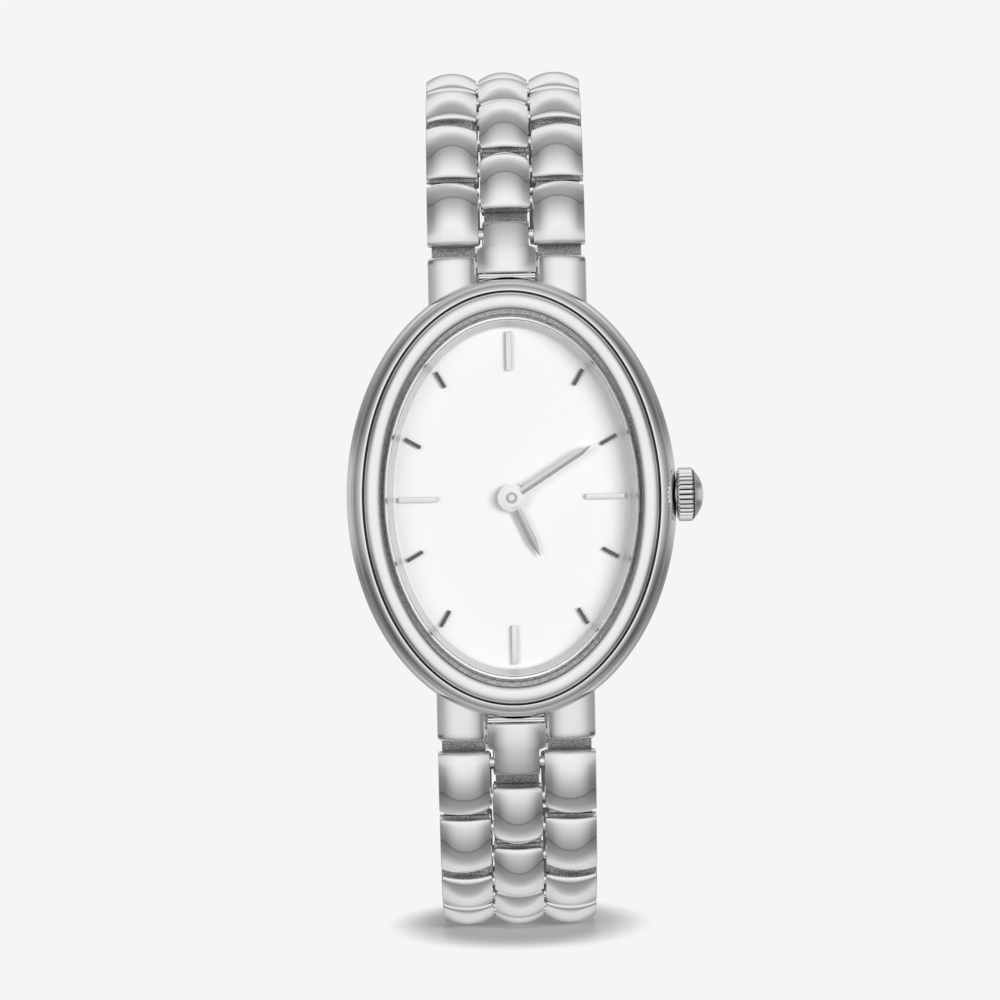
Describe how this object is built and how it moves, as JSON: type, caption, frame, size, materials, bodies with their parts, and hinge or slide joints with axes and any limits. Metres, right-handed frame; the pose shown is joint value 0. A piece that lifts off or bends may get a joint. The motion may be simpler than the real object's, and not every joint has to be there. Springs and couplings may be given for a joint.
{
  "type": "oval bracelet watch",
  "caption": "Small oval quartz wristwatch on a closed three-row steel link bracelet with a side-button clasp.",
  "frame": {"origin": "middle of the case back's outer face, on the axis of the hands", "axes": "+X to three o'clock and the crown, +Y out of the case back towards the wrist, +Z to twelve o'clock"},
  "size_m": [0.0259, 0.0397, 0.0648],
  "materials": {
    "polished_steel": "polished stainless steel",
    "satin_steel": "fine satin steel",
    "cell_steel": "smooth nickelled steel",
    "polished_markers": "polished, nickel-plated brass",
    "crystal_glass": "clear mineral glass",
    "white_dial": "matt white lacquer",
    "silver_flange": "silver-grey satin lacquer",
    "movement_metal": "grained plate",
    "brass_wheel": "turned brass",
    "holder_plastic": "moulded acetal",
    "seal_plastic": "moulded nylon",
    "seal_rubber": "smooth nitrile rubber"
  },
  "bodies": {
    "watch_head": {"case": "polished_steel", "case_back": "satin_steel", "back_gasket": "seal_rubber", "bezel": "polished_steel", "crystal": "crystal_glass", "crystal_gasket": "seal_plastic", "flange_ring": "silver_flange", "dial": "white_dial", "quarter_bars": "polished_markers", "hour_batons": "polished_markers", "movement": "movement_metal", "power_cell": "cell_steel", "movement_holder": "holder_plastic", "crown_tube": "satin_steel", "spring_bars": "satin_steel"},
    "minute_work": {"minute_arbor": "polished_markers", "minute_hand": "polished_markers"},
    "hour_work": {"hour_wheel": "brass_wheel", "hour_hand": "polished_markers"},
    "pinion_body": {"sliding_pinion": "brass_wheel"},
    "crown_body": {"crown": "polished_steel", "winding_stem": "satin_steel"},
    "upper_end_link_body": {"upper_end_link": "polished_steel"},
    "upper_outer_link_1_body": {"upper_outer_link_1": "polished_steel"},
    "upper_centre_link_1_body": {"upper_centre_link_1": "polished_steel"},
    "upper_outer_link_2_body": {"upper_outer_link_2": "polished_steel"},
    "upper_centre_link_2_body": {"upper_centre_link_2": "polished_steel"},
    "upper_outer_link_3_body": {"upper_outer_link_3": "polished_steel"},
    "upper_centre_link_3_body": {"upper_centre_link_3": "polished_steel"},
    "upper_outer_link_4_body": {"upper_outer_link_4": "polished_steel"},
    "upper_centre_link_4_body": {"upper_centre_link_4": "polished_steel"},
    "upper_outer_link_5_body": {"upper_outer_link_5": "polished_steel"},
    "upper_centre_link_5_body": {"upper_centre_link_5": "polished_steel"},
    "upper_outer_link_6_body": {"upper_outer_link_6": "polished_steel"},
    "upper_centre_link_6_body": {"upper_centre_link_6": "polished_steel"},
    "upper_outer_link_7_body": {"upper_outer_link_7": "polished_steel"},
    "upper_centre_link_7_body": {"upper_centre_link_7": "polished_steel"},
    "upper_outer_link_8_body": {"upper_outer_link_8": "polished_steel"},
    "upper_centre_link_8_body": {"upper_centre_link_8": "polished_steel"},
    "clasp_fork_body": {"clasp_fork": "polished_steel"},
    "lower_end_link_body": {"lower_end_link": "polished_steel"},
    "lower_outer_link_1_body": {"lower_outer_link_1": "polished_steel"},
    "lower_centre_link_1_body": {"lower_centre_link_1": "polished_steel"},
    "lower_outer_link_2_body": {"lower_outer_link_2": "polished_steel"},
    "lower_centre_link_2_body": {"lower_centre_link_2": "polished_steel"},
    "lower_outer_link_3_body": {"lower_outer_link_3": "polished_steel"},
    "lower_centre_link_3_body": {"lower_centre_link_3": "polished_steel"},
    "lower_outer_link_4_body": {"lower_outer_link_4": "polished_steel"},
    "lower_centre_link_4_body": {"lower_centre_link_4": "polished_steel"},
    "lower_outer_link_5_body": {"lower_outer_link_5": "polished_steel"},
    "lower_centre_link_5_body": {"lower_centre_link_5": "polished_steel"},
    "lower_outer_link_6_body": {"lower_outer_link_6": "polished_steel"},
    "lower_centre_link_6_body": {"lower_centre_link_6": "polished_steel"},
    "lower_outer_link_7_body": {"lower_outer_link_7": "polished_steel"},
    "lower_centre_link_7_body": {"lower_centre_link_7": "polished_steel"},
    "lower_outer_link_8_body": {"lower_outer_link_8": "polished_steel"},
    "lower_centre_link_8_body": {"lower_centre_link_8": "polished_steel"},
    "clasp_tongue_body": {"clasp_tongue": "polished_steel"},
    "left_button_body": {"left_release_button": "polished_steel"},
    "right_button_body": {"right_release_button": "polished_steel"}
  },
  "joints": [
    {"name": "minute_turn", "type": "hinge", "parent": "watch_head", "child": "minute_work", "pos_m": [0, -0.004, 0], "axis": [0, 1, 0], "continuous": true},
    {"name": "hour_turn", "type": "hinge", "parent": "watch_head", "child": "hour_work", "pos_m": [0, -0.0035, 0], "axis": [0, 1, 0], "continuous": true},
    {"name": "crown_turn", "type": "hinge", "parent": "watch_head", "child": "pinion_body", "pos_m": [0.0052, -0.0022, 0], "axis": [1, 0, 0], "continuous": true},
    {"name": "crown_pull", "type": "slide", "parent": "pinion_body", "child": "crown_body", "axis": [1, 0, 0], "range_m": [0, 0.0007]},
    {"name": "upper_end_hinge", "type": "hinge", "parent": "watch_head", "child": "upper_end_link_body", "pos_m": [0, -0.0019, 0.017], "axis": [1, 0, 0], "range_deg": [0, 7.77]},
    {"name": "upper_hinge_1", "type": "hinge", "parent": "upper_end_link_body", "child": "upper_outer_link_1_body", "pos_m": [0, -0.0016, 0.0192], "axis": [1, 0, 0], "range_deg": [0, 13.24]},
    {"name": "upper_hinge_2", "type": "hinge", "parent": "upper_outer_link_1_body", "child": "upper_centre_link_1_body", "pos_m": [0, -0.00063, 0.02173], "axis": [1, 0, 0], "range_deg": [0, 10]},
    {"name": "upper_hinge_3", "type": "hinge", "parent": "upper_centre_link_1_body", "child": "upper_outer_link_2_body", "pos_m": [0, 0.00077, 0.02405], "axis": [1, 0, 0], "range_deg": [0, 4]},
    {"name": "upper_hinge_4", "type": "hinge", "parent": "upper_outer_link_2_body", "child": "upper_centre_link_2_body", "pos_m": [0, 0.00232, 0.02627], "axis": [1, 0, 0], "range_deg": [0, 7]},
    {"name": "upper_hinge_5", "type": "hinge", "parent": "upper_centre_link_2_body", "child": "upper_outer_link_3_body", "pos_m": [0, 0.00413, 0.02829], "axis": [1, 0, 0], "range_deg": [0, 21]},
    {"name": "upper_hinge_6", "type": "hinge", "parent": "upper_outer_link_3_body", "child": "upper_centre_link_3_body", "pos_m": [0, 0.00655, 0.02952], "axis": [1, 0, 0], "range_deg": [0, 4]},
    {"name": "upper_hinge_7", "type": "hinge", "parent": "upper_centre_link_3_body", "child": "upper_outer_link_4_body", "pos_m": [0, 0.00904, 0.03058], "axis": [1, 0, 0], "range_deg": [0, 11.3]},
    {"name": "upper_hinge_8", "type": "hinge", "parent": "upper_outer_link_4_body", "child": "upper_centre_link_4_body", "pos_m": [0, 0.0117, 0.03113], "axis": [1, 0, 0], "range_deg": [0, 9]},
    {"name": "upper_hinge_9", "type": "hinge", "parent": "upper_centre_link_4_body", "child": "upper_outer_link_5_body", "pos_m": [0, 0.0144, 0.03125], "axis": [1, 0, 0], "range_deg": [0, 9]},
    {"name": "upper_hinge_10", "type": "hinge", "parent": "upper_outer_link_5_body", "child": "upper_centre_link_5_body", "pos_m": [0, 0.0171, 0.03096], "axis": [1, 0, 0], "range_deg": [0, 9]},
    {"name": "upper_hinge_11", "type": "hinge", "parent": "upper_centre_link_5_body", "child": "upper_outer_link_6_body", "pos_m": [0, 0.01971, 0.03024], "axis": [1, 0, 0], "range_deg": [0, 9]},
    {"name": "upper_hinge_12", "type": "hinge", "parent": "upper_outer_link_6_body", "child": "upper_centre_link_6_body", "pos_m": [0, 0.02218, 0.02913], "axis": [1, 0, 0], "range_deg": [0, 9]},
    {"name": "upper_hinge_13", "type": "hinge", "parent": "upper_centre_link_6_body", "child": "upper_outer_link_7_body", "pos_m": [0, 0.02445, 0.02764], "axis": [1, 0, 0], "range_deg": [0, 9]},
    {"name": "upper_hinge_14", "type": "hinge", "parent": "upper_outer_link_7_body", "child": "upper_centre_link_7_body", "pos_m": [0, 0.02645, 0.02581], "axis": [1, 0, 0], "range_deg": [0, 9]},
    {"name": "upper_hinge_15", "type": "hinge", "parent": "upper_centre_link_7_body", "child": "upper_outer_link_8_body", "pos_m": [0, 0.02815, 0.0237], "axis": [1, 0, 0], "range_deg": [0, 9]},
    {"name": "upper_hinge_16", "type": "hinge", "parent": "upper_outer_link_8_body", "child": "upper_centre_link_8_body", "pos_m": [0, 0.02949, 0.02134], "axis": [1, 0, 0], "range_deg": [0, 9]},
    {"name": "upper_clasp_hinge", "type": "hinge", "parent": "upper_centre_link_8_body", "child": "clasp_fork_body", "pos_m": [0, 0.03045, 0.01881], "axis": [1, 0, 0], "range_deg": [0, 4.5]},
    {"name": "lower_end_hinge", "type": "hinge", "parent": "watch_head", "child": "lower_end_link_body", "pos_m": [0, -0.0019, -0.017], "axis": [-1, 0, 0], "range_deg": [0, 7.77]},
    {"name": "lower_hinge_1", "type": "hinge", "parent": "lower_end_link_body", "child": "lower_outer_link_1_body", "pos_m": [0, -0.0016, -0.0192], "axis": [-1, 0, 0], "range_deg": [0, 13.24]},
    {"name": "lower_hinge_2", "type": "hinge", "parent": "lower_outer_link_1_body", "child": "lower_centre_link_1_body", "pos_m": [0, -0.00063, -0.02173], "axis": [-1, 0, 0], "range_deg": [0, 10]},
    {"name": "lower_hinge_3", "type": "hinge", "parent": "lower_centre_link_1_body", "child": "lower_outer_link_2_body", "pos_m": [0, 0.00077, -0.02405], "axis": [-1, 0, 0], "range_deg": [0, 4]},
    {"name": "lower_hinge_4", "type": "hinge", "parent": "lower_outer_link_2_body", "child": "lower_centre_link_2_body", "pos_m": [0, 0.00232, -0.02627], "axis": [-1, 0, 0], "range_deg": [0, 7]},
    {"name": "lower_hinge_5", "type": "hinge", "parent": "lower_centre_link_2_body", "child": "lower_outer_link_3_body", "pos_m": [0, 0.00413, -0.02829], "axis": [-1, 0, 0], "range_deg": [0, 21]},
    {"name": "lower_hinge_6", "type": "hinge", "parent": "lower_outer_link_3_body", "child": "lower_centre_link_3_body", "pos_m": [0, 0.00655, -0.02952], "axis": [-1, 0, 0], "range_deg": [0, 4]},
    {"name": "lower_hinge_7", "type": "hinge", "parent": "lower_centre_link_3_body", "child": "lower_outer_link_4_body", "pos_m": [0, 0.00904, -0.03058], "axis": [-1, 0, 0], "range_deg": [0, 11.3]},
    {"name": "lower_hinge_8", "type": "hinge", "parent": "lower_outer_link_4_body", "child": "lower_centre_link_4_body", "pos_m": [0, 0.0117, -0.03113], "axis": [-1, 0, 0], "range_deg": [0, 9]},
    {"name": "lower_hinge_9", "type": "hinge", "parent": "lower_centre_link_4_body", "child": "lower_outer_link_5_body", "pos_m": [0, 0.0144, -0.03125], "axis": [-1, 0, 0], "range_deg": [0, 9]},
    {"name": "lower_hinge_10", "type": "hinge", "parent": "lower_outer_link_5_body", "child": "lower_centre_link_5_body", "pos_m": [0, 0.0171, -0.03096], "axis": [-1, 0, 0], "range_deg": [0, 9]},
    {"name": "lower_hinge_11", "type": "hinge", "parent": "lower_centre_link_5_body", "child": "lower_outer_link_6_body", "pos_m": [0, 0.01971, -0.03024], "axis": [-1, 0, 0], "range_deg": [0, 9]},
    {"name": "lower_hinge_12", "type": "hinge", "parent": "lower_outer_link_6_body", "child": "lower_centre_link_6_body", "pos_m": [0, 0.02218, -0.02913], "axis": [-1, 0, 0], "range_deg": [0, 9]},
    {"name": "lower_hinge_13", "type": "hinge", "parent": "lower_centre_link_6_body", "child": "lower_outer_link_7_body", "pos_m": [0, 0.02445, -0.02764], "axis": [-1, 0, 0], "range_deg": [0, 9]},
    {"name": "lower_hinge_14", "type": "hinge", "parent": "lower_outer_link_7_body", "child": "lower_centre_link_7_body", "pos_m": [0, 0.02645, -0.02581], "axis": [-1, 0, 0], "range_deg": [0, 9]},
    {"name": "lower_hinge_15", "type": "hinge", "parent": "lower_centre_link_7_body", "child": "lower_outer_link_8_body", "pos_m": [0, 0.02815, -0.0237], "axis": [-1, 0, 0], "range_deg": [0, 9]},
    {"name": "lower_hinge_16", "type": "hinge", "parent": "lower_outer_link_8_body", "child": "lower_centre_link_8_body", "pos_m": [0, 0.02949, -0.02134], "axis": [-1, 0, 0], "range_deg": [0, 9]},
    {"name": "lower_clasp_hinge", "type": "hinge", "parent": "lower_centre_link_8_body", "child": "clasp_tongue_body", "pos_m": [0, 0.03045, -0.01881], "axis": [-1, 0, 0], "range_deg": [0, 4.5]},
    {"name": "left_button_press", "type": "slide", "parent": "clasp_fork_body", "child": "left_button_body", "axis": [1, 0, 0], "range_m": [0, 0.0003], "stiffness_N_per_m": 400},
    {"name": "right_button_press", "type": "slide", "parent": "clasp_fork_body", "child": "right_button_body", "axis": [-1, 0, 0], "range_m": [0, 0.0003], "stiffness_N_per_m": 400}
  ],
  "couplings": [
    {"joint": "hour_turn", "follows": "minute_turn", "ratio": 0.083333},
    {"joint": "upper_end_hinge", "follows": "upper_hinge_5", "ratio": 0.36977},
    {"joint": "upper_hinge_1", "follows": "upper_hinge_5", "ratio": 0.63023},
    {"joint": "upper_hinge_2", "follows": "upper_hinge_5", "ratio": 0.47619},
    {"joint": "upper_hinge_3", "follows": "upper_hinge_5", "ratio": 0.19048},
    {"joint": "upper_hinge_4", "follows": "upper_hinge_5", "ratio": 0.33333},
    {"joint": "upper_hinge_6", "follows": "upper_hinge_5", "ratio": 0.19048},
    {"joint": "upper_hinge_7", "follows": "upper_hinge_5", "ratio": 0.5381},
    {"joint": "upper_hinge_8", "follows": "upper_hinge_5", "ratio": 0.42857},
    {"joint": "upper_hinge_9", "follows": "upper_hinge_5", "ratio": 0.42857},
    {"joint": "upper_hinge_10", "follows": "upper_hinge_5", "ratio": 0.42857},
    {"joint": "upper_hinge_11", "follows": "upper_hinge_5", "ratio": 0.42857},
    {"joint": "upper_hinge_12", "follows": "upper_hinge_5", "ratio": 0.42857},
    {"joint": "upper_hinge_13", "follows": "upper_hinge_5", "ratio": 0.42857},
    {"joint": "upper_hinge_14", "follows": "upper_hinge_5", "ratio": 0.42857},
    {"joint": "upper_hinge_15", "follows": "upper_hinge_5", "ratio": 0.42857},
    {"joint": "upper_hinge_16", "follows": "upper_hinge_5", "ratio": 0.42857},
    {"joint": "upper_clasp_hinge", "follows": "upper_hinge_5", "ratio": 0.21429},
    {"joint": "lower_end_hinge", "follows": "lower_hinge_5", "ratio": 0.36977},
    {"joint": "lower_hinge_1", "follows": "lower_hinge_5", "ratio": 0.63023},
    {"joint": "lower_hinge_2", "follows": "lower_hinge_5", "ratio": 0.47619},
    {"joint": "lower_hinge_3", "follows": "lower_hinge_5", "ratio": 0.19048},
    {"joint": "lower_hinge_4", "follows": "lower_hinge_5", "ratio": 0.33333},
    {"joint": "lower_hinge_6", "follows": "lower_hinge_5", "ratio": 0.19048},
    {"joint": "lower_hinge_7", "follows": "lower_hinge_5", "ratio": 0.5381},
    {"joint": "lower_hinge_8", "follows": "lower_hinge_5", "ratio": 0.42857},
    {"joint": "lower_hinge_9", "follows": "lower_hinge_5", "ratio": 0.42857},
    {"joint": "lower_hinge_10", "follows": "lower_hinge_5", "ratio": 0.42857},
    {"joint": "lower_hinge_11", "follows": "lower_hinge_5", "ratio": 0.42857},
    {"joint": "lower_hinge_12", "follows": "lower_hinge_5", "ratio": 0.42857},
    {"joint": "lower_hinge_13", "follows": "lower_hinge_5", "ratio": 0.42857},
    {"joint": "lower_hinge_14", "follows": "lower_hinge_5", "ratio": 0.42857},
    {"joint": "lower_hinge_15", "follows": "lower_hinge_5", "ratio": 0.42857},
    {"joint": "lower_hinge_16", "follows": "lower_hinge_5", "ratio": 0.42857},
    {"joint": "lower_clasp_hinge", "follows": "lower_hinge_5", "ratio": 0.21429}
  ]
}
